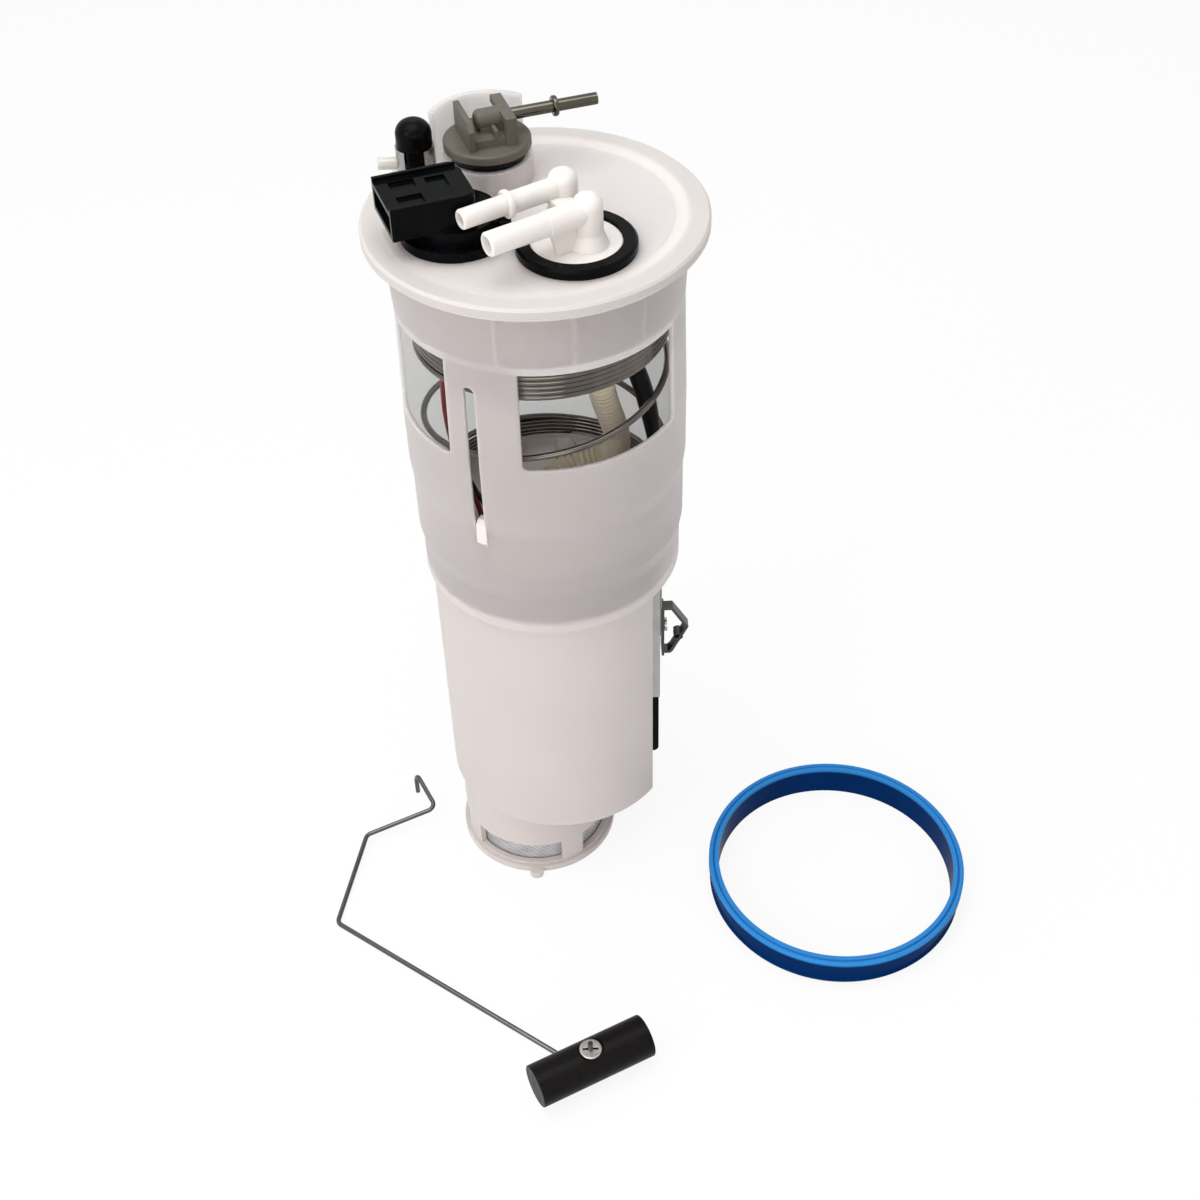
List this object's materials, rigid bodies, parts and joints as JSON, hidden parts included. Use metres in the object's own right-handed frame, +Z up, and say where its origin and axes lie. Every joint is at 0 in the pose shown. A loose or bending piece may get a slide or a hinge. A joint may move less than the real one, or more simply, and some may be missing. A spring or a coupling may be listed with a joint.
{
  "type": "fuel pump module",
  "caption": "In-tank fuel pump module: sprung flange housing over a flat-sided reservoir, strainer foot, level sender, with its float arm and tank seal beside it.",
  "frame": {"origin": "on the strainer foot's underside, on the axis of the housing and flange", "axes": "+Z up along the housing axis, +X out of the flat that carries the level sender, +Y to the back"},
  "size_m": [0.3193, 0.2616, 0.3871],
  "materials": {
    "white_acetal": "satin",
    "clear_nylon": "translucent",
    "black_nylon": "gloss",
    "taupe_nylon": "matte",
    "grey_acetal": "satin",
    "black_rubber": "satin",
    "blue_rubber": "satin",
    "plated_steel": "brushed",
    "dark_steel": "satin",
    "gunmetal_tube": "polished",
    "bright_wire": "polished",
    "spring_wire": "satin",
    "tinned_brass": "satin",
    "armature_steel": "satin",
    "magnet_ferrite": "matte",
    "cream_hose": "satin",
    "harness_sleeve": "gloss",
    "red_lead": "satin",
    "filter_paper": "matte",
    "screen_mesh": "matte",
    "ceramic_card": "matte",
    "black_foam": "matte"
  },
  "bodies": {
    "base": {"reservoir": "white_acetal", "reservoir_cover": "white_acetal", "cover_nipple": "clear_nylon", "outlet_elbow": "clear_nylon", "fill_valve": "black_rubber", "pump_case": "plated_steel", "pump_inlet_cap": "white_acetal", "pump_outlet_cap": "white_acetal", "pump_isolator": "black_rubber", "pump_magnets": "magnet_ferrite", "pump_brushes": "magnet_ferrite", "strainer_frame": "white_acetal", "strainer_screen": "screen_mesh", "sender_bracket": "plated_steel", "sender_body": "black_nylon", "resistor_card": "ceramic_card", "sender_pivot_pin": "plated_steel", "float_rod": "bright_wire", "float_retainer": "plated_steel", "tank_seal": "blue_rubber", "compression_spring": "spring_wire", "fuel_hose": "cream_hose", "sender_harness": "harness_sleeve", "pump_lead_red": "red_lead", "pump_lead_black": "harness_sleeve"},
    "head": {"housing": "white_acetal", "connector_body": "black_nylon", "connector_terminals": "tinned_brass", "connector_seal": "black_rubber", "rollover_valve": "taupe_nylon", "vapour_tube": "gunmetal_tube", "rollover_grommet": "black_rubber", "rollover_retainer": "white_acetal", "vent_fitting": "plated_steel", "vent_cap": "black_rubber", "vent_tube": "clear_nylon", "port_cap": "white_acetal", "filter_grommet": "black_rubber", "filter_can": "white_acetal", "filter_element": "filter_paper", "pressure_regulator": "plated_steel"},
    "pump_rotor": {"pump_armature": "armature_steel", "pump_impeller": "grey_acetal"},
    "sender_rotor": {"sender_clip": "dark_steel", "wiper": "tinned_brass"},
    "float": {"arm_float": "black_foam"},
    "valve_weight": {"rollover_float": "grey_acetal"}
  },
  "joints": [
    {"name": "housing_slide", "type": "slide", "parent": "base", "child": "head", "axis": [0, 0, -1], "range_m": [0, 0.032], "stiffness_N_per_m": 600, "springref_m": -0.03, "deforming": ["compression_spring", "fuel_hose", "sender_harness", "pump_lead_red", "pump_lead_black"]},
    {"name": "pump_spin", "type": "hinge", "parent": "base", "child": "pump_rotor", "pos_m": [-0.0145, -0.0096, 0.105], "axis": [0, 0, 1], "continuous": true},
    {"name": "sender_turn", "type": "hinge", "parent": "base", "child": "sender_rotor", "pos_m": [0.0516, 0, 0.127], "axis": [1, 0, 0], "range_deg": [-40, 40]},
    {"name": "float_swivel", "type": "hinge", "parent": "base", "child": "float", "pos_m": [0.007, -0.1704, 0.0129], "axis": [0, 0, 1], "continuous": true},
    {"name": "valve_lift", "type": "slide", "parent": "head", "child": "valve_weight", "axis": [0, 0, 1], "range_m": [0, 0.003]}
  ]
}
